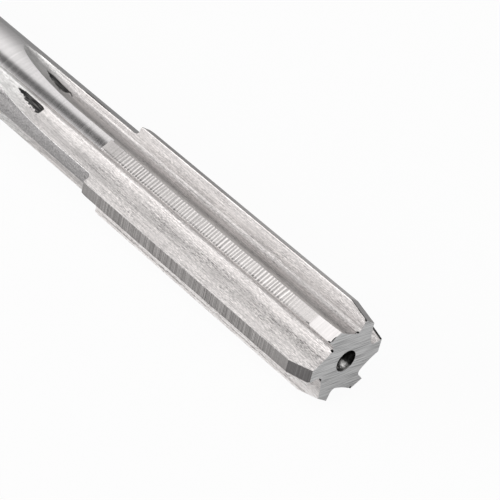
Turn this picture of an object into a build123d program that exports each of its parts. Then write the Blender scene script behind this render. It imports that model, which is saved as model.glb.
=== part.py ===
from build123d import *
import os
from math import acos, atan2, cos, degrees, hypot, radians, sin, sqrt, tan

# Straight-flute machine reamer with a plain round shank, ground from one bar of tool steel.
# X runs from the middle of the shank's end face to the cutting end. Z is up as the tool lies
# on its teeth. It cuts when turned anticlockwise as seen from the cutting end.

# Lengths along the tool
overall_length = 170.0
head_length = 52.0
shank_length = 50.0
shank_blend = 1.0  # short taper from the ground shank up to the neck
shank_chamfer = 1.0

# Diameters and the turned shoulder
cutting_diameter = 16.0
shank_diameter = 12.5
neck_diameter = 12.7  # left as turned, a little proud of the ground shank
shoulder_fillet = 0.8

# Teeth
tooth_count = 6
margin_width = 0.2  # cylindrical strip at the cutting edge, which sizes the hole
land_width = 2.1  # margin and ground relief together
relief_angle = 14.0
lead_length = 3.8
lead_angle = 15.0
rear_break_length = 1.4  # the lands round off towards the shoulder
rear_break_drop = 0.12

# Flutes
web_radius = 4.85  # where the line of the flute's back meets the cutting face
root_fillet = 0.8
back_hollow = 0.35  # how far the back sinks below a straight line from root to heel
straight_flute_length = 61.0
wheel_radius = 125.0  # the flute lifts out of the neck along this wheel

# Centre holes, each a conical seat with a pilot
center_angle = 60.0
front_mouth_diameter = 3.7
front_pilot_diameter = 1.6
front_center_depth = 5.0
rear_mouth_diameter = 5.3
rear_pilot_diameter = 2.5
rear_center_depth = 6.5

# How far the cutting solids stand clear of the steel
clearance = 2.0

# Radii and places that follow
cutting_radius = cutting_diameter / 2
shank_radius = shank_diameter / 2
neck_radius = neck_diameter / 2
rim_radius = cutting_radius + clearance
shoulder_x = overall_length - head_length
lead_x = overall_length - lead_length
lead_slope = tan(radians(lead_angle))
front_radius = cutting_radius - lead_length * lead_slope
pitch = 360 / tooth_count

# Where the land ends in its heel, measured out along the cutting edge and back from it
relief_width = land_width - margin_width
margin_out = sqrt(cutting_radius**2 - margin_width**2)
heel_out = margin_out - relief_width * sin(radians(relief_angle))
heel_back = margin_width + relief_width * cos(radians(relief_angle))
heel_radius = hypot(heel_out, heel_back)

# The next tooth's heel in the same frame, where the back of this tooth's flute ends
next_heel_angle = pitch - degrees(atan2(heel_back, heel_out))
next_heel_out = heel_radius * cos(radians(next_heel_angle))
next_heel_ahead = heel_radius * sin(radians(next_heel_angle))

# The tool lies on one cutting edge and the next tooth's heel, so the line through them is level
edge_angle = -90 - degrees(atan2(cutting_radius - next_heel_out, next_heel_ahead))

# Directions of the first tooth: out along its cutting edge, and ahead of its cutting face
out = Vector(0, cos(radians(edge_angle)), sin(radians(edge_angle)))
ahead = Vector(0, -sin(radians(edge_angle)), cos(radians(edge_angle)))
relief = ahead * -cos(radians(relief_angle)) - out * sin(radians(relief_angle))
cutting_face = Plane(origin=(0, 0, 0), x_dir=(1, 0, 0), z_dir=ahead)
flute_start = Plane(
    origin=(overall_length - straight_flute_length, 0, 0), x_dir=out, z_dir=(1, 0, 0)
)


def rear_rounding(height):
    """The rounded rear end of a land at this height, from the land back to the shoulder."""
    land_end = (shoulder_x + rear_break_length, height)
    return TangentArc(land_end, (shoulder_x, height - rear_break_drop), tangent=(-1, 0))


# Path of the wheel that grinds one flute: straight along the head, then lifting out of the neck
with BuildPart() as flute_cutter:
    with BuildSketch(flute_start) as flute_section:
        with BuildLine():
            root = (web_radius, 0)
            Line((rim_radius, 0), root)
            back = SagittaArc(root, (next_heel_out, next_heel_ahead), back_hollow)
            beyond = Line(back @ 1, back @ 1 + (back % 1) * rim_radius)
            Polyline(beyond @ 1, (rim_radius, (beyond @ 1).Y), (rim_radius, 0))
        make_face()
        fillet(flute_section.vertices().sort_by_distance(root)[0], root_fillet)
    extrude(amount=straight_flute_length + clearance)
    wheel_center = flute_start.origin + out * (web_radius + wheel_radius)
    lift = neck_radius - web_radius + clearance
    revolve(
        flute_section.sketch,
        axis=Axis(wheel_center, -ahead),
        revolution_arc=degrees(acos(1 - lift / wheel_radius)),
    )

# Relief behind one cutting edge: a flat along the land, and one along the lead
with BuildPart() as relief_cutter:
    with BuildSketch(cutting_face.offset(-margin_width)):
        with BuildLine():
            rounding = rear_rounding(margin_out)
            Polyline(
                rounding @ 1,
                (shoulder_x - clearance, (rounding @ 1).Y),
                (shoulder_x - clearance, rim_radius),
                (overall_length + clearance, rim_radius),
                (overall_length + clearance, margin_out),
                rounding @ 0,
            )
        make_face()
    extrude(amount=2 * land_width, dir=relief)
    with BuildSketch(cutting_face):
        with BuildLine():
            overrun = clearance * lead_slope
            Polyline(
                (lead_x - clearance, cutting_radius + overrun),
                (overall_length + clearance, front_radius - overrun),
                (overall_length + clearance, cutting_radius + overrun),
                close=True,
            )
        make_face()
    extrude(amount=2 * land_width, dir=relief)

with BuildPart() as reamer:
    # Turned blank, from the lands down the front face and back along the shank
    with BuildSketch(Plane.XY):
        with BuildLine():
            rounding = rear_rounding(cutting_radius)
            Polyline(
                rounding @ 0,
                (lead_x, cutting_radius),
                (overall_length, front_radius),
                (overall_length, 0),
                (0, 0),
                (0, shank_radius),
                (shank_length, shank_radius),
                (shank_length + shank_blend, neck_radius),
                (shoulder_x, neck_radius),
                rounding @ 1,
            )
        make_face()
    revolve(axis=Axis.X)
    circles = reamer.edges().filter_by(GeomType.CIRCLE)
    shoulder_circles = circles.filter_by_position(Axis.X, shoulder_x, shoulder_x)
    chamfer(circles.sort_by(Axis.X)[0], shank_chamfer)
    fillet(shoulder_circles.sort_by(SortBy.RADIUS)[0], shoulder_fillet)
    # Teeth
    for tooth in range(tooth_count):
        add(flute_cutter.part.rotate(Axis.X, tooth * pitch), mode=Mode.SUBTRACT)
        add(relief_cutter.part.rotate(Axis.X, tooth * pitch), mode=Mode.SUBTRACT)
    # Centre holes in both ends
    with Locations(Plane(origin=(overall_length, 0, 0), z_dir=(1, 0, 0))):
        CounterSinkHole(
            front_pilot_diameter / 2, front_mouth_diameter / 2, front_center_depth, center_angle
        )
    with Locations(Plane(origin=(0, 0, 0), z_dir=(-1, 0, 0))):
        CounterSinkHole(
            rear_pilot_diameter / 2, rear_mouth_diameter / 2, rear_center_depth, center_angle
        )

reamer.part.label = "reamer"
os.makedirs("parts", exist_ok=True)
export_step(reamer.part, "parts/reamer.step")
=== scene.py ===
from math import atan2, cos, hypot, pi, radians, sin, sqrt, tan

import bmesh
import bpy
from mathutils import Matrix, Vector


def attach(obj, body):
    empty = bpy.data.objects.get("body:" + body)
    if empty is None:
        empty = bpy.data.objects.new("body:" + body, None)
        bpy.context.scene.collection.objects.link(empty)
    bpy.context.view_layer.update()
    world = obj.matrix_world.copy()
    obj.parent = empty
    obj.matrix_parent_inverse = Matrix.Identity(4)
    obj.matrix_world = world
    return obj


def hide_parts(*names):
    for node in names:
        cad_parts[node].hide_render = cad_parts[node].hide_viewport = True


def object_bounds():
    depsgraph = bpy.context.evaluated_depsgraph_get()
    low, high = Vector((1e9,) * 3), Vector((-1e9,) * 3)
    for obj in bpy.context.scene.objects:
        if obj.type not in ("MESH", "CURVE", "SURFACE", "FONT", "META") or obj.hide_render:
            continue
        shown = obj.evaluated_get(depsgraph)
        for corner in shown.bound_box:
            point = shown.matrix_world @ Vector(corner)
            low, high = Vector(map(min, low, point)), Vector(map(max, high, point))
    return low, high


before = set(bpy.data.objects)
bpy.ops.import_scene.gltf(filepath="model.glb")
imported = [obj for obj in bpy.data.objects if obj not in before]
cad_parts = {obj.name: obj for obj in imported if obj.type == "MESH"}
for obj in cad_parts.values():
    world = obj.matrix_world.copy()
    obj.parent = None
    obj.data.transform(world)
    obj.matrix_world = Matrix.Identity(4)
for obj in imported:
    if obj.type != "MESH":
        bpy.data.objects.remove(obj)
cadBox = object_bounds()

# A six-flute machine reamer, ground from one bar. Lengths are in millimetres until they reach
# the mesh. X runs from the shank's end face to the cutting end, and Z is up as the tool lies.
mm = 0.001
toolLength = cadBox[1].x / mm
tableZ = cadBox[0].z
print("reamer: frame loaded, %.1f mm long" % toolLength)

# The turned bar, its teeth and its flutes

bar = {
    "headLength": 52.0,
    "cuttingRadius": 8.0,
    "neckRadius": 6.35,
    "shankRadius": 6.25,
    "shankLength": 50.0,
    "shankBlend": 1.0,
    "shankChamfer": 1.0,
    "shoulderFillet": 0.8,
    "rearLength": 1.4,  # the lands round off towards the shoulder
    "rearDrop": 0.12,
    "leadLength": 3.8,
    "leadAngle": 15.0,
}
teeth = {
    "count": 6,
    "marginWidth": 0.2,  # cylindrical strip behind the cutting edge
    "landWidth": 2.1,
    "reliefAngle": 14.0,
}
flutes = {
    "webRadius": 4.85,
    "rootFillet": 0.8,
    "backHollow": 0.35,
    "straightLength": 61.0,
    "wheelRadius": 125.0,  # the flute lifts out of the neck along this wheel
}
parts = {  # how finely each stretch is divided
    "wall": 4,
    "rootFillet": 8,
    "back": 12,
    "tall": 3,
    "relief": 10,
    "margin": 2,
    "tip": 10,
    "lift": 14,
    "straight": 4,
    "shoulderFillet": 6,
    "rear": 5,
    "land": 8,
    "lead": 4,
    "neck": 6,
    "shank": 8,
}
search = {  # for the places that have no plain formula
    "steps": 800,  # across a flute, to its deepest point
    "halvings": 40,  # of a stretch, to where one surface meets another
    "room": 9.0,  # behind the first guess at a flute's tip
    "pastHeel": 3.1,  # how far up a flute's back, just past its end at 3
}

count = teeth["count"]
pitch = 2 * pi / count
shoulderX = toolLength - bar["headLength"]
leadX = toolLength - bar["leadLength"]
leadSlope = tan(radians(bar["leadAngle"]))
runOutX = toolLength - flutes["straightLength"]
cuttingRadius = bar["cuttingRadius"]
neckRadius = bar["neckRadius"]
shoulderRadius = neckRadius + bar["shoulderFillet"]  # where the fillet meets the shoulder's face
relief = radians(teeth["reliefAngle"])
marginWidth = teeth["marginWidth"]
marginOut = sqrt(cuttingRadius**2 - marginWidth**2)
reliefWidth = teeth["landWidth"] - marginWidth
heelOut = marginOut - reliefWidth * sin(relief)
heelBack = marginWidth + reliefWidth * cos(relief)
heelRadius = hypot(heelOut, heelBack)

# The next tooth's heel, seen from this tooth: out along its cutting edge, ahead of its face
nextHeelTurn = pitch - atan2(heelBack, heelOut)
nextHeel = Vector((heelRadius * cos(nextHeelTurn), heelRadius * sin(nextHeelTurn)))

# The tool lies on one cutting edge and the next tooth's heel
edgeTurn = -pi / 2 - atan2(cuttingRadius - nextHeel.x, nextHeel.y)
toNextTooth = Matrix.Rotation(-pitch, 2)


def place(tooth, x, out, ahead):  # a point given in one tooth's own directions
    turn = edgeTurn + tooth * pitch
    y = out * cos(turn) - ahead * sin(turn)
    z = out * sin(turn) + ahead * cos(turn)
    return Vector((x, y, z)) * mm


def turningPoint(test, low, high):  # where test goes from false to true
    for _ in range(search["halvings"]):
        middle = (low + high) / 2
        if test(middle):
            high = middle
        else:
            low = middle
    return (low + high) / 2


def spread(start, end, steps):
    return [start + (end - start) * i / steps for i in range(steps + 1)]


# One flute's section: a radial cutting face, a fillet, and a hollow back up to a heel

root = Vector((flutes["webRadius"], 0))
chord = nextHeel - root
hollow = flutes["backHollow"]
backRadius = (chord.length_squared / 4 + hollow**2) / (2 * hollow)
chordSide = Vector((chord.y, -chord.x)).normalized()
backCentre = (root + nextHeel) / 2 + chordSide * (backRadius - hollow)
filletRadius = flutes["rootFillet"]
filletRise = backCentre.y - filletRadius
filletOut = backCentre.x - sqrt((backRadius - filletRadius) ** 2 - filletRise**2)
filletCentre = Vector((filletOut, filletRadius))
toFillet = filletCentre - backCentre
faceTurn = 1.5 * pi  # the fillet runs from here, at the face,
backTurn = atan2(toFillet.y, toFillet.x) % (2 * pi)  # to here, at the back
heelTurn = atan2(nextHeel.y - backCentre.y, nextHeel.x - backCentre.x)
wheelCentre = flutes["webRadius"] + flutes["wheelRadius"]


def sectionPoint(way):  # 0 to 1 down the face, 1 to 2 round the fillet, 2 to 3 up the back
    if way <= 1:
        return Vector((cuttingRadius + (filletOut - cuttingRadius) * way, 0))
    if way <= 2:
        turn = faceTurn + (backTurn - faceTurn) * (way - 1)
        return filletCentre + filletRadius * Vector((cos(turn), sin(turn)))
    turn = backTurn + (heelTurn - backTurn) * (way - 2)
    return backCentre + backRadius * Vector((cos(turn), sin(turn)))


def liftedPoint(x, way):  # the wheel lifts the section where the flute runs out
    point = sectionPoint(way)
    behind = max(0.0, runOutX - x)
    reach = wheelCentre - point.x
    return Vector((wheelCentre - sqrt(reach**2 - behind**2), point.y))


lift = neckRadius - flutes["webRadius"]
tipGuess = runOutX - sqrt(2 * flutes["wheelRadius"] * lift)
tipLow = tipGuess - search["room"]
deepest = min(spread(1, 3, search["steps"]), key=lambda way: liftedPoint(tipGuess, way).length)
tipX = turningPoint(lambda x: liftedPoint(x, deepest).length < neckRadius, tipLow, runOutX)
wallEndX = turningPoint(lambda x: liftedPoint(x, 1).length < neckRadius, tipX, runOutX)
tip = liftedPoint(tipX, deepest)
tipTurn = atan2(tip.y, tip.x)


def fluteSides(x, radius):  # where the section crosses a circle, on the face and on the back
    if x <= tipX:
        return deepest, deepest
    faceSide = turningPoint(lambda way: liftedPoint(x, way).length < radius, 0, deepest)
    backSide = turningPoint(lambda way: liftedPoint(x, way).length > radius, deepest, 3)
    return faceSide, backSide


# The top of a tooth: neck ridge, shoulder fillet, land and lead


def ridgeRadius(x):
    fillet = bar["shoulderFillet"]
    into = max(0.0, x - shoulderX + fillet)
    return neckRadius + fillet - sqrt(max(0.0, fillet**2 - into**2))


def rearDrop(x):
    length, drop = bar["rearLength"], bar["rearDrop"]
    radius = (length**2 + drop**2) / (2 * drop)
    into = max(0.0, shoulderX + length - x)
    return radius - sqrt(radius**2 - into**2)


def landHeight(x, ahead):
    if ahead >= -marginWidth:
        return sqrt(cuttingRadius**2 - ahead**2) - rearDrop(x)
    return marginOut + (ahead + marginWidth) * tan(relief) - rearDrop(x)


def leadHeight(x, ahead):
    return cuttingRadius - (x - leadX) * leadSlope + ahead * tan(relief)


def topHeight(x, ahead):
    return min(landHeight(x, ahead), leadHeight(x, ahead))


def leadStart(ahead):  # where along the tool the lead cuts into the land
    return leadX - (landHeight(leadX, ahead) - leadHeight(leadX, ahead)) / leadSlope


def splitRadius(x):  # divides the flute's sides, at the height of the shoulder's fillet
    return shoulderRadius + min(0.0, leadHeight(x, 0) - cuttingRadius)


def heelWay(x):  # where the back of the flute meets the next tooth's top
    def above(way):
        point = toNextTooth @ sectionPoint(way)
        return point.x > topHeight(x, point.y)

    return turningPoint(above, 2, search["pastHeel"])


# Stations along the tool, and the points across each of them

filletTurns = spread(0, pi / 2, parts["shoulderFillet"])
filletX = shoulderX - bar["shoulderFillet"]
rearX = shoulderX + bar["rearLength"]
neckStations = [tipX + (wallEndX - tipX) * (i / parts["tip"]) ** 2 for i in range(parts["tip"])]
neckStations += spread(wallEndX, runOutX, parts["lift"])
neckStations += spread(runOutX, filletX, parts["straight"])[1:]
neckStations += [filletX + bar["shoulderFillet"] * sin(turn) for turn in filletTurns[1:]]
landStations = spread(shoulderX, rearX, parts["rear"])
landStations += spread(rearX, leadStart(-marginWidth), parts["land"])[1:]
leadStations = spread(leadX, toolLength, parts["lead"])
headStations = landStations + leadStations
topColumns = parts["relief"] + parts["margin"]


def fluteRow(x, limit):  # across one flute, up to the limit's radius on either side
    faceSide, backSide = fluteSides(x, limit(x))
    wallEnd = min(max(1, faceSide), backSide)
    filletEnd = min(max(2, faceSide), backSide)
    ways = spread(faceSide, wallEnd, parts["wall"])
    ways += spread(wallEnd, filletEnd, parts["rootFillet"])[1:]
    ways += spread(filletEnd, backSide, parts["back"])[1:]
    return [liftedPoint(x, way) for way in ways]


def ridgeRow(x, limit):  # round from the last flute's back to this tooth's face
    radius = limit(x)
    low, high = tipTurn - pitch, tipTurn
    if x > tipX:
        faceSide, backSide = fluteSides(x, radius)
        face, back = liftedPoint(x, faceSide), liftedPoint(x, backSide)
        low, high = atan2(back.y, back.x) - pitch, atan2(face.y, face.x)
    return [(radius * cos(turn), radius * sin(turn)) for turn in spread(low, high, topColumns)]


def topRow(x, height):  # across one tooth, from its heel to its cutting edge
    heel = toNextTooth @ sectionPoint(heelWay(x))
    aheads = spread(heel.y, -marginWidth, parts["relief"])
    aheads += spread(-marginWidth, 0, parts["margin"])[1:]
    return [(height(x, ahead), ahead) for ahead in aheads]


def placedRows(tooth, stations, row, limit):  # such rows at these stations of one tooth
    return [[place(tooth, x, *point) for point in row(x, limit)] for x in stations]


# Mesh, in patches of quads that share their outer rows

finishNames = ["neck", "flute", "shoulder", "land", "lead", "front", "centre", "shank", "shankEnd"]
finishNames += ["worn", "chipped"]
weldGap = 2e-4  # points closer than this are one
work = bmesh.new()


def patch(rows, finish):
    grid = [[work.verts.new(point) for point in row] for row in rows]
    for below, above in zip(grid, grid[1:]):
        for i in range(len(below) - 1):
            face = work.faces.new((below[i], below[i + 1], above[i + 1], above[i]))
            face.material_index = finishNames.index(finish)


def openEdges(mesh):
    return sum(not edge.is_manifold for edge in mesh.edges)


def finishesAt(edge):
    return frozenset(finishNames[face.material_index] for face in edge.link_faces)


for tooth in range(count):
    # The flute up to the shoulder's height, then its two sides from there to the teeth
    low = placedRows(tooth, neckStations, fluteRow, ridgeRadius)
    patch(low + placedRows(tooth, headStations[1:], fluteRow, splitRadius), "flute")
    wallTop, backTop = [], []
    for x in headStations:
        heights = spread(topHeight(x, 0), splitRadius(x), parts["tall"])
        wallTop.append([place(tooth, x, out, 0) for out in heights])
        ways = spread(fluteSides(x, splitRadius(x))[1], heelWay(x), parts["tall"])
        backTop.append([place(tooth, x, *sectionPoint(way)) for way in ways])
    patch(wallTop, "flute")
    patch(backTop, "flute")
    # Neck ridge, land, lead and shoulder of this tooth
    ridge = placedRows(tooth, neckStations, ridgeRow, ridgeRadius)
    patch(ridge, "neck")
    land = placedRows(tooth, landStations, topRow, landHeight)
    corner = []
    for out, ahead in topRow(landStations[-1], landHeight):
        x = min(leadX, leadStart(ahead))
        corner.append(place(tooth, x, landHeight(x, ahead), ahead))
    patch(land + [corner], "land")
    patch([corner] + placedRows(tooth, leadStations, topRow, topHeight), "lead")
    turned = Matrix.Rotation(-pitch, 3, "X")
    shoulder = [ridge[-1]]
    for i in range(1, parts["tall"]):
        row = [a.lerp(b, i / parts["tall"]) for a, b in zip(ridge[-1], land[0])]
        row[0] = turned @ backTop[0][i]
        row[-1] = wallTop[0][-1 - i]
        shoulder.append(row)
    patch(shoulder + [land[0]], "shoulder")
print("reamer: teeth and flutes, %d faces" % len(work.faces))

# Shank and centre holes

centres = {
    "angle": 60.0,
    "drillPoint": 118.0,
    "front": {"mouth": 1.85, "pilot": 0.8, "depth": 5.0},
    "rear": {"mouth": 2.65, "pilot": 1.25, "depth": 6.5},
}
shankRadius = bar["shankRadius"]
shankX = bar["shankLength"]
chamfer = bar["shankChamfer"]
barTurns = [edgeTurn + tipTurn + pitch * i / topColumns for i in range(count * topColumns + 1)]


def ring(x, radius):
    return [Vector((x, radius * cos(turn), radius * sin(turn))) * mm for turn in barTurns]


def centreHole(endX, inward, size):  # down to the bottom of the pilot hole; gives its mouth
    seat = (size["mouth"] - size["pilot"]) / tan(radians(centres["angle"] / 2))
    point = size["pilot"] / tan(radians(centres["drillPoint"] / 2))
    mouth = ring(endX, size["mouth"])
    seatEnd = ring(endX + inward * seat, size["pilot"])
    pilotEnd = ring(endX + inward * size["depth"], size["pilot"])
    bottom = ring(endX + inward * (size["depth"] + point), 0)
    patch([mouth, seatEnd, pilotEnd, bottom], "centre")
    return mouth


neckBack = spread(tipX, shankX + bar["shankBlend"], parts["neck"])
patch([ring(x, neckRadius) for x in neckBack], "neck")
patch([ring(shankX + bar["shankBlend"], neckRadius), ring(shankX, shankRadius)], "neck")
patch([ring(x, shankRadius) for x in spread(shankX, chamfer, parts["shank"])], "shank")
patch([ring(chamfer, shankRadius), ring(0, shankRadius - chamfer)], "shank")
rearMouth = centreHole(0, 1, centres["rear"])
patch([ring(0, shankRadius - chamfer), rearMouth], "shankEnd")
centreHole(toolLength, -1, centres["front"])

bmesh.ops.remove_doubles(work, verts=work.verts, dist=weldGap * mm)
frontRim = [edge for edge in work.edges if edge.is_boundary]
filled = bmesh.ops.triangle_fill(work, edges=frontRim, use_beauty=True, use_dissolve=False)
for face in filled["geom"]:
    if isinstance(face, bmesh.types.BMFace):
        face.material_index = finishNames.index("front")
bmesh.ops.recalc_face_normals(work, faces=work.faces)
print("reamer: bar closed, %d faces, %d open edges" % (len(work.faces), openEdges(work)))

# Edges are a little rounded, and the rounding carries the worn finish

edges = {
    "round": 0.14,  # the widest rounding
    "segments": 3,
    "share": {  # of the widest, where two finishes meet
        ("neck", "flute"): 1.4,
        ("flute", "land"): 0.7,
        ("flute", "lead"): 0.6,
        ("shoulder", "flute"): 0.35,
        ("shoulder", "land"): 0.35,
        ("front", "flute"): 0.3,
        ("front", "lead"): 0.3,
        ("front", "centre"): 0.7,
        ("shankEnd", "centre"): 0.9,
        ("shankEnd", "shank"): 0.7,
    },
    "fade": 12.0,  # the rounding fades in over this length from a flute's tip,
    "fadeStart": 0.15,  # from this share
    "flat": 5.0,  # an edge flatter than this needs no rounding
    "smooth": 25.0,  # one flatter than this is shaded smooth
    "crisp": 78.0,  # a flute's edge steeper than this cuts, and stays sharp
}
shares = {frozenset(pair): share for pair, share in edges["share"].items()}
weight = work.edges.layers.float.new("bevel_weight_edge")
for edge in work.edges:
    pair, angle = finishesAt(edge), edge.calc_face_angle()
    edge.smooth = angle < radians(edges["smooth"]) and pair != {"land", "lead"}
    if pair not in shares or angle < radians(edges["flat"]):
        continue
    if "flute" in pair and "front" not in pair and angle > radians(edges["crisp"]):
        continue
    edge[weight] = shares[pair]
    if "neck" in pair:  # only the back's side of a run-out is rounded
        middle = (edge.verts[0].co + edge.verts[1].co) / (2 * mm)
        turn = (atan2(middle.z, middle.y) - edgeTurn) % pitch
        fading = min(1.0, edges["fadeStart"] + (middle.x - tipX) / edges["fade"])
        edge[weight] *= fading if turn > tipTurn else 0
for face in work.faces:
    face.smooth = True
bodyMesh = bpy.data.meshes.new("reamerBody")
work.to_mesh(bodyMesh)
body = bpy.data.objects.new("reamer_body", bodyMesh)
bpy.context.scene.collection.objects.link(body)
rounding = body.modifiers.new("rounding", "BEVEL")
rounding.limit_method = "WEIGHT"
rounding.width = edges["round"] * mm
rounding.segments = edges["segments"]
rounding.material = finishNames.index("worn")

# Small chips along the front edges, cut with jagged lumps after the rounding

chips = {
    "jag": 0.22,  # how far a lump's points stand in and out, as a share of its size
    "jagTurn": 2.4,
    "cuts": [  # tooth, out and ahead of its face, and half the length, height and width
        (4, 4.95, 0.5, 0.4, 0.5, 0.22),
        (4, 7.1, 0.05, 0.5, 0.3, 0.28),
        (4, 6.8, -0.95, 0.14, 0.16, 0.85),
        (3, 4.95, 0.45, 0.4, 0.2, 0.22),
        (3, 4.9, 0.95, 0.25, 0.18, 0.18),
        (3, 7.0, 0.0, 0.3, 0.24, 0.22),
        (5, 4.87, 0.8, 0.5, 0.2, 0.35),
        (5, 7.05, 0.0, 0.45, 0.3, 0.25),
        (1, 6.2, -2.3, 0.3, 0.22, 0.4),
        (2, 5.0, 0.6, 0.25, 0.14, 0.2),
        (0, 5.0, 0.5, 0.3, 0.25, 0.15),
    ],
}
lumps = bmesh.new()
for tooth, out, ahead, length, height, width in chips["cuts"]:
    lump = bmesh.ops.create_icosphere(lumps, subdivisions=2, radius=1)["verts"]
    for i, vert in enumerate(lump):
        reach = vert.co * (1 + chips["jag"] * sin(chips["jagTurn"] * i + tooth))
        x = toolLength + reach.x * length
        vert.co = place(tooth, x, out + reach.y * height, ahead + reach.z * width)
bmesh.ops.recalc_face_normals(lumps, faces=lumps.faces)
for face in lumps.faces:
    face.material_index = finishNames.index("chipped")
lumpMesh = bpy.data.meshes.new("lumps")
lumps.to_mesh(lumpMesh)
cutter = bpy.data.objects.new("lumps", lumpMesh)
bpy.context.scene.collection.objects.link(cutter)
for mesh in (bodyMesh, lumpMesh):  # empty places, which keep each face's finish in the cut
    for _ in finishNames:
        mesh.materials.append(None)
chipping = body.modifiers.new("chipping", "BOOLEAN")
chipping.operation = "DIFFERENCE"
chipping.solver = "EXACT"
chipping.material_mode = "INDEX"
chipping.object = cutter
cut = bpy.data.meshes.new_from_object(body.evaluated_get(bpy.context.evaluated_depsgraph_get()))
body.modifiers.clear()
bpy.data.objects.remove(cutter)
body.data = cut
rims = bmesh.new()
rims.from_mesh(cut)
for edge in rims.edges:
    pair = finishesAt(edge)
    if "chipped" in pair and len(pair) > 1:
        edge.smooth = False
rims.to_mesh(cut)
print("reamer: rounded and chipped, %d faces, %d open edges" % (len(rims.faces), openEdges(rims)))
evening = body.modifiers.new("evening", "WEIGHTED_NORMAL")
evening.keep_sharp = True

# Shader maths. Arithmetic on wires adds the nodes, and numbers alone are worked out in Python.


class Wire:
    def __init__(self, tree, socket=None):
        self.tree = tree
        self.socket = socket

    def node(self, kind, inputs=None, output=0, stops=None, stepped=False, **settings):
        made = self.tree.nodes.new("ShaderNode" + kind)
        for name, value in settings.items():
            setattr(made, name, value)
        for i, (position, tone) in enumerate(stops or []):
            ramp = made.color_ramp.elements
            stop = ramp[i] if i < 2 else ramp.new(position)
            stop.position = position
            stop.color = (tone, tone, tone, 1)
        if stepped:
            made.color_ramp.interpolation = "CONSTANT"
        for name, value in (inputs or {}).items():
            if isinstance(value, Wire):
                self.tree.links.new(value.socket, made.inputs[name])
            else:
                made.inputs[name].default_value = value
        return Wire(self.tree, made.outputs[output]) if made.outputs else None

    def maths(self, operation, *values):
        return self.node("Math", dict(enumerate((self, *values))), operation=operation)

    def step(self, low, high):  # from 0 to 1, softly
        inputs = {"Value": self, "From Min": low, "From Max": high}
        return self.node("MapRange", inputs, interpolation_type="SMOOTHSTEP")

    def past(self, start, reach):  # the same, between two distances past the start
        return self.step(start + reach[0], start + reach[1])

    def __add__(self, value):
        return self.maths("ADD", value)

    def __sub__(self, value):
        return self.maths("SUBTRACT", value)

    def __rsub__(self, value):
        return self.node("Math", {0: value, 1: self}, operation="SUBTRACT")

    def __mul__(self, value):
        return self.maths("MULTIPLY", value)

    def __truediv__(self, value):
        return self.maths("DIVIDE", value)

    __radd__ = __add__
    __rmul__ = __mul__


def newFinish(name):
    material = bpy.data.materials.new(name)
    material.use_nodes = True
    material.node_tree.nodes.clear()
    return material, Wire(material.node_tree)


def objectPoint(sheet):  # the point on the tool, in millimetres
    spot = sheet.node("TexCoord", output="Object")
    return sheet.node("VectorMath", {0: spot, "Scale": 1 / mm}, operation="SCALE")


def axes(point):  # x, y and z of a point, each on a wire of its own
    split = point.node("SeparateXYZ", {0: point}).socket.node.outputs
    return [Wire(point.tree, socket) for socket in split]


def grain(point, size, detail=2.0, roughness=0.5):  # noise of this size each way, about 0
    scale = [1 / side for side in size]
    scaled = point.node("VectorMath", {0: point, 1: scale}, operation="MULTIPLY")
    inputs = {"Vector": scaled, "Scale": 1.0, "Detail": detail, "Roughness": roughness}
    return point.node("TexNoise", inputs) * 2 - 1


def coat(sheet, colour, tone, roughness, height, depth, metallic=1.0):  # steel, times the tone
    tinted = sheet.node("VectorMath", {0: colour, "Scale": tone}, operation="SCALE")
    normal = sheet.node("Bump", {"Height": height, "Strength": 1.0, "Distance": depth * mm})
    inputs = {"Base Color": tinted, "Metallic": metallic, "Roughness": roughness, "Normal": normal}
    shader = sheet.node("BsdfPrincipled", inputs)
    sheet.node("OutputMaterial", {"Surface": shader})


faceSlip = 0.003  # turns are counted from a little behind a face, so that it is the flute's


def aroundTool(point):  # the tooth's number, the turn from its face, and the radius
    y, z = axes(point)[1:]
    turn = (z.maths("ARCTAN2", y) - edgeTurn + 2 * pi + faceSlip) / pitch
    tooth = turn.maths("FLOOR").maths("MODULO", count)
    return tooth, turn.maths("FRACT") * pitch, (y * y + z * z).maths("SQRT")


def behindEdge(turn, radius):  # how far behind the next cutting edge
    return radius * (pitch - turn).maths("SINE")


def byTooth(tooth, values):  # picks a value by the tooth's number
    top = max(values)
    stops = [(i / count, value / top) for i, value in enumerate(values)]
    return tooth.node("ValToRGB", {"Fac": (tooth + 0.5) / count}, stops=stops, stepped=True) * top


# Below, tones are shares of the colour, sizes are of the grain along the tool and across it, and
# a list of six goes by tooth. A pair says where something starts to fade and where it has.

# Ground lands: marks straight across, plain near both ends, dark along the cutting edge

landLook = {
    "colour": (0.614, 0.588, 0.578),
    "roughness": 0.25,
    "markPitch": [0.45, 0.5, 0.34, 0.62, 0.27, 0.55],
    "markTone": [0.15, 0.2, 0.1, 0.27, 0.17, 0.2],
    "markRough": 0.1,
    "markDepth": 0.012,
    "markPeak": 2.2,  # thin bright lines rise this far
    "markSink": 0.82,  # from wider dull ones, which lie this far down
    "markEven": 0.9,  # their strength, before the unevenness
    "unevenSize": (3.0, 9, 9),
    "wander": 0.7,  # how far the marks stray from their pitch
    "wanderSize": (2.5, 12, 12),
    "rearPlain": (1.0, 6.0),  # past the shoulder
    "frontPlain": (-7.0, -2.0),  # before the lead
    "fineTone": [0.55, 0.55, 0.55, 0.5, 1.1, 0.6],
    "fineSize": (0.2, 14, 14),
    "finePlain": 0.3,  # what is left of the fine marks where the land is plain
    "blotchTone": 0.12,
    "blotchRough": 0.05,
    "blotchSize": (0.5, 0.3, 0.3),
    "edgeTone": 0.4,
    "edgeWidth": 0.03,
    "edgeFade": (-0.05, 0.05),
    "notchWidth": 0.3,  # wider where the edge is notched
    "notchFade": (0.15, 0.55),
    "notchSize": (0.9, 14, 14),
}


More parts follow.
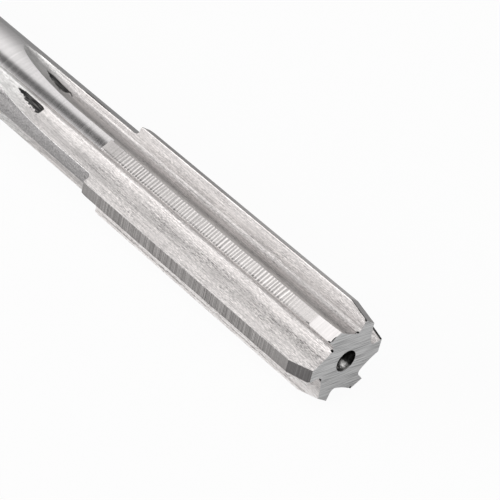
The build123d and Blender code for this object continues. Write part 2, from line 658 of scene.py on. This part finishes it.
def makeLand():
    look = landLook
    material, sheet = newFinish("ground_land")
    point = objectPoint(sheet)
    x = axes(point)[0]
    tooth, turn, radius = aroundTool(point)
    wander = grain(point, look["wanderSize"]) * look["wander"]
    wave = ((x / byTooth(tooth, look["markPitch"]) + wander) * (2 * pi)).maths("SINE") * 0.5 + 0.5
    wave = wave * wave * look["markPeak"] - look["markSink"]
    uneven = look["markEven"] + grain(point, look["unevenSize"])
    marked = x.past(shoulderX, look["rearPlain"]) * (1 - x.past(leadX, look["frontPlain"]))
    marks = wave * byTooth(tooth, look["markTone"]) * uneven * marked
    fine = grain(point, look["fineSize"], detail=3.0, roughness=0.7)
    fine = fine * byTooth(tooth, look["fineTone"])
    marks = marks + fine * (look["finePlain"] + marked * (1 - look["finePlain"]))
    blotch = grain(point, look["blotchSize"], detail=3.0)
    notch = grain(point, look["notchSize"], detail=3.0).step(*look["notchFade"])
    width = look["edgeWidth"] + notch * look["notchWidth"]
    edge = 1 - (behindEdge(turn, radius) - width).step(*look["edgeFade"])
    tone = (1 + marks + blotch * look["blotchTone"]) * (1 - edge * (1 - look["edgeTone"]))
    rough = look["roughness"] + marks * look["markRough"] + blotch * look["blotchRough"]
    coat(sheet, look["colour"], tone, rough, marks, look["markDepth"])
    return material


# Ground leads: smoother, with faint marks and a dark line along the cutting edge

leadLook = {
    "colour": (0.302, 0.29, 0.288),
    "roughness": 0.2,
    # painted light: one lead lighter than the rest
    "leadLightTone": [1.0, 1.0, 1.35, 1.0, 1.0, 1.0],
    "markTone": [0.4, 0.4, 0.4, 0.26, 0.72, 0.5],
    "markRough": 0.06,
    "markDepth": 0.002,
    "markSize": (0.16, 9, 9),
    "blotchTone": 0.08,
    "blotchRough": 0.04,
    "blotchSize": (0.8, 0.8, 0.8),
    "lineTone": [0.1, 0.2, 0.9, 0.02, 0.1, 0.1],
    "lineRough": 0.5,
    "lineWidth": (0.2, 0.45),
}


def makeLead():
    look = leadLook
    material, sheet = newFinish("ground_lead")
    point = objectPoint(sheet)
    tooth, turn, radius = aroundTool(point)
    marks = grain(point, look["markSize"], detail=3.0, roughness=0.6)
    blotch = grain(point, look["blotchSize"], detail=3.0)
    line = 1 - behindEdge(turn, radius).step(*look["lineWidth"])
    line = line * byTooth(tooth, look["lineTone"])
    tone = 1 + marks * byTooth(tooth, look["markTone"]) + blotch * look["blotchTone"]
    # painted light on one lead
    tone = tone * byTooth(tooth, look["leadLightTone"]) * (1 - line)
    rough = look["roughness"] + marks * look["markRough"] + blotch * look["blotchRough"]
    rough = rough + line * look["lineRough"]
    coat(sheet, look["colour"], tone, rough, marks, look["markDepth"], 1 - line)
    return material


# Scale left where the flutes run out, one patch in each: a thin tip towards the shank, one side
# straight and the other ragged

scaleLook = {
    "tone": 0.03,
    "rough": 0.15,
    "height": 0.6,
    "start": [96.8, 98.6, 95.6, 96.4, 95.9, 97.4],
    "length": [5.2, 3.6, 7.0, 6.2, 6.5, 4.6],
    "width": [0.8, 0.5, 0.9, 1.2, 1.0, 0.7],
    "near": [(0, 0.95), (1, 0.85), (0.25, 0.64), (0.93, 0.68)],  # its sides, ahead of the face
    "far": [(0, 1.05), (1, 1.6), (0.3, 1.5), (0.6, 1.95), (0.93, 2.1)],
    "sideFade": (-0.04, 0.04),
    "startFade": (0.0, 0.01),  # as shares of its length
    "endFade": (0.99, 1.0),
    "wander": 0.05,
    "wanderSize": (0.5, 0.35, 0.35),
    "ragged": 0.7,
    "raggedSize": (0.4, 0.3, 0.3),
    "outEnd": (6.2, 6.4),  # it keeps off the neck
    "tail": [0, 1, 0, 1, 0, 0],  # which patches trail off in a thin line
    "tailAhead": 0.8,
    "tailSlant": 3,  # how fast it strays from the face
    "tailWidth": (0.09, 0.19),
    "tailStart": (0.94, 0.97),
    "tailEnd": (1.14, 1.2),
    "dull": 0.7,
    "shine": 7,  # paler streaks in it
    "shineFade": (-0.05, 0.4),
    "shineSize": (3.0, 0.16, 0.16),
}


def scaleCover(slanted, x, tooth, out, ahead):  # 1 where the scale lies
    look = scaleLook
    wander = grain(slanted, look["wanderSize"]) * look["wander"]
    way = (x - byTooth(tooth, look["start"])) / byTooth(tooth, look["length"]) + wander
    near = way.node("ValToRGB", {"Fac": way}, stops=look["near"])
    far = way.node("ValToRGB", {"Fac": way}, stops=look["far"])
    ragged = 1 + grain(slanted, look["raggedSize"], detail=3.0) * look["ragged"]
    far = near + (far - near) * byTooth(tooth, look["width"]) * ragged
    cover = (ahead - near).step(*look["sideFade"]) * (far - ahead).step(*look["sideFade"])
    cover = cover * way.step(*look["startFade"]) * (1 - way.step(*look["endFade"]))
    cover = cover * (1 - out.step(*look["outEnd"]))
    tail = (ahead - look["tailAhead"] - (way - 1) * look["tailSlant"]).maths("ABSOLUTE")
    tail = (1 - tail.step(*look["tailWidth"])) * byTooth(tooth, look["tail"])
    tail = tail * way.step(*look["tailStart"]) * (1 - way.step(*look["tailEnd"]))
    return cover.maths("MAXIMUM", tail)


# Flutes: wheel streaks along the tool, with painted light and shade: a tone for each flute, a band
# along each back and along the root, and highlights along the cutting edges

fluteLook = {
    "colour": (0.594, 0.569, 0.56, 1),
    "runOutColour": (0.52, 0.512, 0.505, 1),
    "straightStart": (-15.0, -5.0),  # past the end of the run-out
    "metallic": 0.65,
    "roughness": 0.53,
    # painted light and shade: each flute lighter or darker by how the light falls on it
    "fluteLightTone": [1.0, 0.95, 1.3, 0.97, 1.07, 1.6],
    "faceHighlightTone": [0.0, 0.0, 0.0, 0.1, 0.0, 0.0],  # a painted highlight, brighter on the cutting face
    "faceEnd": (0.05, 0.3),
    "slant": 0.02,  # how far the streaks drift across the flute
    "unlike": 30,  # moves the patterns on from one flute to the next
    "longTone": 0.42,
    "longSize": (12.0, 0.24, 0.24),
    "streakTone": 0.5,
    "streakRough": 0.08,
    "streakDepth": 0.006,
    "streakSize": (1.3, 0.14, 0.14),
    "speckTone": 0.75,
    "speckHeight": 0.5,
    "speckSize": (0.5, 0.09, 0.09),
    "mottleTone": 0.1,
    "mottleRough": 0.08,
    "mottleSize": (1.6, 0.7, 0.7),
    "patchTone": 1.2,  # streaks and specks come in patches,
    "patchSize": (5, 1.6, 1.6),
    "neckShare": 0.65,  # fainter on the neck
    "neckEnd": (110, 128),  # along the tool
    "bandTone": [0.27, 0.27, 0.27, 0.42, 0.27, 0.27],  # painted shade, a darker band along the middle of each back
    "shadeBandStart": 0.9,
    "shadeBandEnd": 4.4,
    "rootShadeTone": 0.14,  # painted shade too along the root
    "rootShadeAhead": (0.4, 1.1),
    "rootShadeOut": (5.4, 6.0),
    "rimHighlightTone": 0.6,  # and a painted highlight along the cutting edge,
    "rimOut": (7.75, 7.9),
    "rimAhead": (0.1, 0.2),
    "neckRimHighlightTone": 0.6,  # painted highlight, less so along the neck's ridge
    "neckRimOut": (6.08, 6.2),
    "neckRimEnd": (-2.0, -1.0),  # past the shoulder
    "leadRimTone": [0.1, 0.1, 0.95, 0.1, 0.1, 0.1],  # dark where that edge slopes in at the lead
    "leadRimOut": (-0.45, -0.25),  # past the cutting radius
    "leadRimStart": (0.0, 0.3),
    "lineTone": [0.1, 0.1, 0.1, 0.0, 0.0, 0.3],  # a dull line near the heel
    "lineAhead": 5.1,
    "lineWidth": (0.06, 0.2),
    "lineStart": (-1.0, 1.0),  # past the shoulder
}


def makeFlute():
    look = fluteLook
    material, sheet = newFinish("ground_flute")
    point = objectPoint(sheet)
    x = axes(point)[0]
    tooth, turn, radius = aroundTool(point)
    out = radius * turn.maths("COSINE")
    ahead = radius * turn.maths("SINE")
    drifted = {0: x, 1: out + tooth * look["unlike"], 2: ahead - x * look["slant"]}
    slanted = sheet.node("CombineXYZ", drifted)
    straight = x.past(runOutX, look["straightStart"])
    # Streaks and specks
    long = grain(slanted, look["longSize"])
    patchy = 1 + grain(slanted, look["patchSize"]) * look["patchTone"]
    patchy = patchy * (look["neckShare"] + x.step(*look["neckEnd"]) * (1 - look["neckShare"]))
    streaks = grain(slanted, look["streakSize"], detail=3.0, roughness=0.6) * patchy
    specks = grain(slanted, look["speckSize"]) * patchy
    mottle = grain(slanted, look["mottleSize"], detail=3.0)
    metal = 1 + long * look["longTone"] + streaks * look["streakTone"]
    metal = metal + specks * look["speckTone"] + mottle * look["mottleTone"]
    # Painted shade band and root shade, painted highlight rim, and line, from the root up
    shadeBandMiddle = (look["shadeBandStart"] + look["shadeBandEnd"]) / 2
    shadeBandReach = (look["shadeBandEnd"] - look["shadeBandStart"]) / 2
    shadeBand = 1 - ((ahead - shadeBandMiddle) / shadeBandReach).maths("ABSOLUTE").step(0, 1)
    shadeBand = shadeBand * straight * byTooth(tooth, look["bandTone"])
    # painted shade along the root
    rootShade = (1 - ahead.step(*look["rootShadeAhead"])) * (1 - out.step(*look["rootShadeOut"]))
    # painted shade along the middle of each back and along the root
    metal = metal - shadeBand - rootShade * look["rootShadeTone"]
    neckRimHighlight = out.step(*look["neckRimOut"]) * (1 - x.past(shoulderX, look["neckRimEnd"]))
    alongFace = 1 - ahead.step(*look["rimAhead"])
    # painted highlight along the cutting edge and the neck's ridge
    rimHighlight = (out.step(*look["rimOut"]) + neckRimHighlight * look["neckRimHighlightTone"]) * alongFace
    line = 1 - (ahead - look["lineAhead"]).maths("ABSOLUTE").step(*look["lineWidth"])
    line = line * x.past(shoulderX, look["lineStart"])
    metal = metal + rimHighlight * look["rimHighlightTone"] - line * byTooth(tooth, look["lineTone"])
    slope = out + (x - leadX) * leadSlope
    dark = slope.past(cuttingRadius, look["leadRimOut"]) * x.past(leadX, look["leadRimStart"])
    dark = dark * alongFace * byTooth(tooth, look["leadRimTone"])
    # painted highlight on the cutting face
    face = (1 - ahead.step(*look["faceEnd"])) * byTooth(tooth, look["faceHighlightTone"])
    # each flute's painted light and shade
    metal = (metal + face) * byTooth(tooth, look["fluteLightTone"]) * (1 - dark)
    blend = {0: straight, 6: look["runOutColour"], 7: look["colour"]}
    colour = sheet.node("Mix", blend, output=2, data_type="RGBA")
    # The scale over it all
    scale = scaleCover(slanted, x, tooth, out, ahead)
    shine = grain(slanted, scaleLook["shineSize"]).step(*scaleLook["shineFade"])
    scaleTone = scaleLook["tone"] * (scaleLook["dull"] + shine * scaleLook["shine"])
    tone = metal * (1 - scale) + scaleTone * scale
    rough = look["roughness"] + mottle * look["mottleRough"] + streaks * look["streakRough"]
    rough = rough + scale * scaleLook["rough"]
    bumps = streaks + long + specks * look["speckHeight"] + scale * scaleLook["height"]
    coat(sheet, colour, tone, rough, bumps, look["streakDepth"], look["metallic"])
    return material


# Neck as turned: faint rings, flecks on the ridges, painted light and shade on some ridges, and a
# line of painted shade behind each cutting face

neckLook = {
    "colour": (0.63, 0.612, 0.611),
    "roughness": 0.2,
    # painted light and shade: some ridges lighter or darker than the rest
    "ridgeLightTone": [1.0, 1.0, 1.0, 0.94, 1.15, 1.0],
    "ridgeStart": (0.0, 5.0),  # past the flute's tip
    "ringTone": 0.18,
    "ringRough": 0.05,
    "ringDepth": 0.0008,
    "ringSize": (0.22, 14, 14),
    "fleckTone": [0.5, 0.5, 0.12, 0.12, 1.0, 0.5],
    "fleckRough": 0.1,
    "fleckSize": (0.25, 0.2, 0.2),
    "fleckStart": (-2.0, 6.0),  # past the flute's tip
    # painted shade: a dark, dull line behind each cutting face, where its edge shades the neck
    "lineTone": [0.1, 0.15, 0.9, 0.05, 0.45, 0.15],
    "lineRough": 0.6,
    "lineWidth": (0.3, 0.6),
    "lineStart": (103.5, 105.0),  # along the tool
    "shadeLineEnd": [114.0, 114.0, 114.0, 114.0, 124.0, 114.0],
    "shadeLineFade": 6,  # over this length
}


def makeNeck():
    look = neckLook
    material, sheet = newFinish("turned_neck")
    point = objectPoint(sheet)
    x = axes(point)[0]
    tooth, turn, radius = aroundTool(point)
    rings = grain(point, look["ringSize"], detail=3.0, roughness=0.65)
    flecks = grain(point, look["fleckSize"], detail=3.0) * byTooth(tooth, look["fleckTone"])
    flecks = flecks * x.past(tipX, look["fleckStart"])
    # painted shade behind each cutting face
    line = 1 - behindEdge(turn, radius).step(*look["lineWidth"])
    line = line * byTooth(tooth, look["lineTone"]) * x.step(*look["lineStart"])
    line = line * (1 - ((x - byTooth(tooth, look["shadeLineEnd"])) / look["shadeLineFade"]).step(-1, 0))
    # painted light and shade on some ridges
    ridge = 1 + (byTooth(tooth, look["ridgeLightTone"]) - 1) * x.past(tipX, look["ridgeStart"])
    tone = (ridge + rings * look["ringTone"] + flecks) * (1 - line)
    rough = look["roughness"] + rings * look["ringRough"] + flecks * look["fleckRough"]
    rough = rough + line * look["lineRough"]
    coat(sheet, look["colour"], tone, rough, rings + flecks, look["ringDepth"], 1 - line)
    return material


# Front face: straight scratches one way

frontLook = {
    "colour": (0.8, 0.8, 0.8),
    "roughness": 0.36,
    "scratchTurn": 170.0,  # degrees from +Y
    "scratchTone": 1.1,
    "scratchRough": 0.08,
    "scratchDepth": 0.003,
    "scratchSize": (9, 4.5, 0.14),
    "bandTone": 0.1,
    "bandSize": (9, 9, 0.9),
}


def makeFront():
    look = frontLook
    material, sheet = newFinish("front_face")
    point = objectPoint(sheet)
    inputs = {"Vector": point, "Axis": (1, 0, 0), "Angle": -radians(look["scratchTurn"])}
    turned = sheet.node("VectorRotate", inputs, rotation_type="AXIS_ANGLE")
    scratches = grain(turned, look["scratchSize"], detail=3.0, roughness=0.6)
    tone = 1 + scratches * look["scratchTone"] + grain(turned, look["bandSize"]) * look["bandTone"]
    rough = look["roughness"] + scratches * look["scratchRough"]
    coat(sheet, look["colour"], tone, rough, scratches, look["scratchDepth"])
    return material


# Centre holes: painted shade at the mouth, a painted highlight on the seat, black painted shade
# down the pilot hole, and painted shade on the side away from the lamp

centreLook = {
    "colour": (0.6, 0.59, 0.58),
    "roughness": 0.25,
    "depth": 2.0,  # the painted shading runs from the mouth to here
    # painted shade and light by depth: dark at the mouth, a painted highlight on the seat, black
    # deeper in
    "tones": [(0, 0.4), (1, 0.01), (0.1, 0.1), (0.3, 0.75), (0.55, 0.5), (0.7, 0.03)],
    # painted glints in the tone; the same grain gives real pits in the bump and roughness
    "glintTone": 1.8,
    "spotRough": 0.1,
    "spotDepth": 0.004,
    "spotSize": (0.35, 0.35, 0.35),
    "spotShift": 0.08,  # how far they shift the painted shading
    "shadeSideTone": 0.04,  # painted shade, on the side away from the lamp
    "shadeSide": (-0.9, -0.1),
    "shadeSideWander": 1.2,
}


def makeCentre():
    look = centreLook
    material, sheet = newFinish("steel_centre")
    point = objectPoint(sheet)
    x, y, z = axes(point)
    # one grain for painted glints in the tone and real pits in the bump
    bumpsAndGlints = grain(point, look["spotSize"], detail=3.0)
    way = x.maths("MINIMUM", toolLength - x) / look["depth"] + bumpsAndGlints * look["spotShift"]
    # painted shade on the side away from the lamp
    shadeSideMask = (y + z + bumpsAndGlints * look["shadeSideWander"]).step(*look["shadeSide"])
    tone = sheet.node("ValToRGB", {"Fac": way}, stops=look["tones"])
    tone = tone * (1 + bumpsAndGlints * look["glintTone"]) * (1 - shadeSideMask * (1 - look["shadeSideTone"]))
    rough = look["roughness"] + bumpsAndGlints * look["spotRough"]
    coat(sheet, look["colour"], tone, rough, bumpsAndGlints, look["spotDepth"])
    return material


# The ground shank, the turned faces, and the worn and chipped edges

turnedFace = {"colour": (0.55, 0.545, 0.54), "roughness": 0.3, "size": (3, 0.5, 0.5), "tone": 0.2}
plainLooks = {
    "shank": {
        "colour": (0.62, 0.615, 0.61),
        "roughness": 0.2,
        "size": (0.12, 12, 12),
        "tone": 0.12,
    },
    "shankEnd": turnedFace,
    "shoulder": turnedFace,
    "worn": {
        "colour": (0.66, 0.65, 0.645),
        "roughness": 0.38,
        "size": (0.7, 0.7, 0.7),
        "tone": 0.6,
    },
    "chipped": {
        "colour": (0.03, 0.03, 0.03),
        "roughness": 0.5,
        "size": (0.15, 0.15, 0.15),
        "tone": 0.9,
    },
}
lineRough = 0.06  # the fine lines of these finishes
lineDepth = 0.0015


def makePlain(name, look):
    material, sheet = newFinish("steel_" + name)
    lines = grain(objectPoint(sheet), look["size"], detail=3.0, roughness=0.6)
    rough = look["roughness"] + lines * lineRough
    coat(sheet, look["colour"], 1 + lines * look["tone"], rough, lines, lineDepth)
    return material


finishes = {name: makePlain(name, look) for name, look in plainLooks.items()}
finishes["land"] = makeLand()
finishes["lead"] = makeLead()
finishes["flute"] = makeFlute()
finishes["neck"] = makeNeck()
finishes["front"] = makeFront()
finishes["centre"] = makeCentre()
for i, name in enumerate(finishNames):
    cut.materials[i] = finishes[name]
print("reamer: %d finishes" % len(finishes))

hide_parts("reamer")
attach(body, "root")

# Camera, as it stood for the photograph

camera = {
    "place": (329.35, -183.34, 222.74),
    "aim": (145.41, 2.55, 2.15),
    "roll": 7.484,
    "lens": 165.525,
    "clip": (0.01, 20.0),  # in metres
}
lensData = bpy.data.cameras.new("camera")
lensData.lens = camera["lens"]
lensData.clip_start, lensData.clip_end = camera["clip"]
eye = bpy.data.objects.new("camera", lensData)
bpy.context.scene.collection.objects.link(eye)
bpy.context.scene.camera = eye
sight = Vector(camera["aim"]) - Vector(camera["place"])
level = sight.to_track_quat("-Z", "Y").to_matrix()
rolled = level @ Matrix.Rotation(radians(camera["roll"]), 3, "Z")
eye.matrix_world = Matrix.Translation(Vector(camera["place"]) * mm) @ rolled.to_4x4()

# Light tent: the world, white to the camera, with cards that the steel mirrors

tent = {
    "fill": 0.5,  # what it gives to everything but the reflections
    "low": 0.45,  # its tones in the reflections, from the horizon up
    "high": 1.2,
    "lowAngle": 8.0,
    "highAngle": 54.0,
    "cards": [  # round, with a soft edge, all in degrees
        {"azimuth": 98, "elevation": 38, "radius": 24, "soft": 12, "tone": 0.3},
        {"azimuth": -118, "elevation": 24, "radius": 30, "soft": 14, "tone": 1.05},
        {"azimuth": -174, "elevation": 64, "radius": 10, "soft": 8, "tone": 1.42},
        {"azimuth": 164, "elevation": 49, "radius": 9, "soft": 6, "tone": 1.25},
        {"azimuth": -106, "elevation": 83, "radius": 13, "soft": 8, "tone": 3.3},
        {"azimuth": -161, "elevation": 48, "radius": 9, "soft": 5, "tone": 0.08},
    ],
}


def heading(azimuth, elevation):
    level = cos(radians(elevation))
    return (level * cos(radians(azimuth)), level * sin(radians(azimuth)), sin(radians(elevation)))


def mirrored(sheet):  # 1 where it is seen in a reflection or through glass
    glossy = sheet.node("LightPath", output="Is Glossy Ray")
    return glossy + sheet.node("LightPath", output="Is Transmission Ray")


world = bpy.data.worlds.new("studio")
bpy.context.scene.world = world
world.use_nodes = True
world.node_tree.nodes.clear()
sky = Wire(world.node_tree)
ray = sky.node("TexCoord", output="Generated")
low, high = (sin(radians(tent[angle])) for angle in ("lowAngle", "highAngle"))
tentTone = tent["low"] + axes(ray)[2].step(low, high) * (tent["high"] - tent["low"])
for card in tent["cards"]:
    inputs = {0: ray, 1: heading(card["azimuth"], card["elevation"])}
    facing = sky.node("VectorMath", inputs, output="Value", operation="DOT_PRODUCT")
    outside = cos(radians(card["radius"] + card["soft"]))
    inside = cos(radians(card["radius"] - card["soft"]))
    cover = facing.step(outside, inside)
    tentTone = tentTone * (1 - cover) + cover * card["tone"]
toCamera = sky.node("LightPath", output="Is Camera Ray")
toGloss = mirrored(sky)
strength = toCamera + toGloss * tentTone + (1 - toCamera - toGloss) * tent["fill"]
background = sky.node("Background", {"Color": (1, 1, 1, 1), "Strength": strength})
sky.node("OutputWorld", {"Surface": background})

# Floor: white to the camera, and pale in the steel with zones of painted shadow and painted light
# around the tool. Its lengths are in metres, and its zones are counted from its middle.

floorLook = {
    "size": 6.0,
    "middle": 0.1,
    "colour": 0.92,
    "glow": 0.95,  # how much of it the camera sees as plain white
    "steelGlow": 0.3,  # how much of its tone in the steel shines by itself
    "farLeft": 0.3,  # its tones there, painted shadow and painted light as the steel sees them: on the left, from far off to close to the tool,
    "left": 0.64,
    "close": 0.47,
    "neck": 0.38,  # right of the neck and of the head,
    "head": 0.6,
    "front": 0.66,  # and before the front face
    "farLeftEdge": (-0.065, -0.042),
    "leftEdge": (-0.028, -0.014),
    "rightEdge": (0.004, 0.022),
    "headEdge": (0.005, 0.03),
    "frontEdge": (0.069, 0.074),
}


def makePaper():
    look = floorLook
    material, sheet = newFinish("floor_paper")
    inSteel = mirrored(sheet)
    along, across = axes(sheet.node("TexCoord", output="Object"))[:2]
    # painted shadow and light on the floor, as the steel mirrors it
    left = look["close"] + (1 - across.step(*look["leftEdge"])) * (look["left"] - look["close"])
    left = left + (1 - across.step(*look["farLeftEdge"])) * (look["farLeft"] - look["left"])
    right = look["neck"] + along.step(*look["headEdge"]) * (look["head"] - look["neck"])
    paintedLightInSteel = left + across.step(*look["rightEdge"]) * (right - left)
    paintedLightInSteel = paintedLightInSteel + along.step(*look["frontEdge"]) * (look["front"] - paintedLightInSteel)
    tone = look["colour"] + inSteel * (paintedLightInSteel - look["colour"])
    colour = sheet.node("VectorMath", {0: (1, 1, 1), "Scale": tone}, operation="SCALE")
    matt = sheet.node("BsdfDiffuse", {"Color": colour})
    white = sheet.node("Emission", {"Color": (1, 1, 1, 1), "Strength": 1.0})
    seen = sheet.node("LightPath", output="Is Camera Ray") * look["glow"]
    seen = seen + inSteel * paintedLightInSteel * look["steelGlow"]
    mixed = sheet.node("MixShader", {0: seen, 1: matt, 2: white})
    sheet.node("OutputMaterial", {"Surface": mixed})
    return material


bpy.ops.mesh.primitive_plane_add(size=floorLook["size"], location=(floorLook["middle"], 0, tableZ))
floor = bpy.context.object
floor.name = "floor"
floor.data.materials.append(makePaper())

# One broad lamp, low on the left

lamp = {
    "azimuth": -132,
    "elevation": 22,
    "distance": 0.8,
    "aim": (0.14, 0, 0),
    "wide": 0.8,
    "tall": 0.3,
    "power": 3.3,
}
lampData = bpy.data.lights.new("softbox", "AREA")
lampData.shape = "RECTANGLE"
lampData.size = lamp["wide"]
lampData.size_y = lamp["tall"]
lampData.energy = lamp["power"]
softbox = bpy.data.objects.new("softbox", lampData)
bpy.context.scene.collection.objects.link(softbox)
towards = Vector(heading(lamp["azimuth"], lamp["elevation"]))
softbox.location = Vector(lamp["aim"]) + towards * lamp["distance"]
softbox.rotation_euler = towards.to_track_quat("Z", "Y").to_euler()
bpy.context.scene.view_settings.view_transform = "Standard"
print("reamer: camera, tent, floor and lamp")
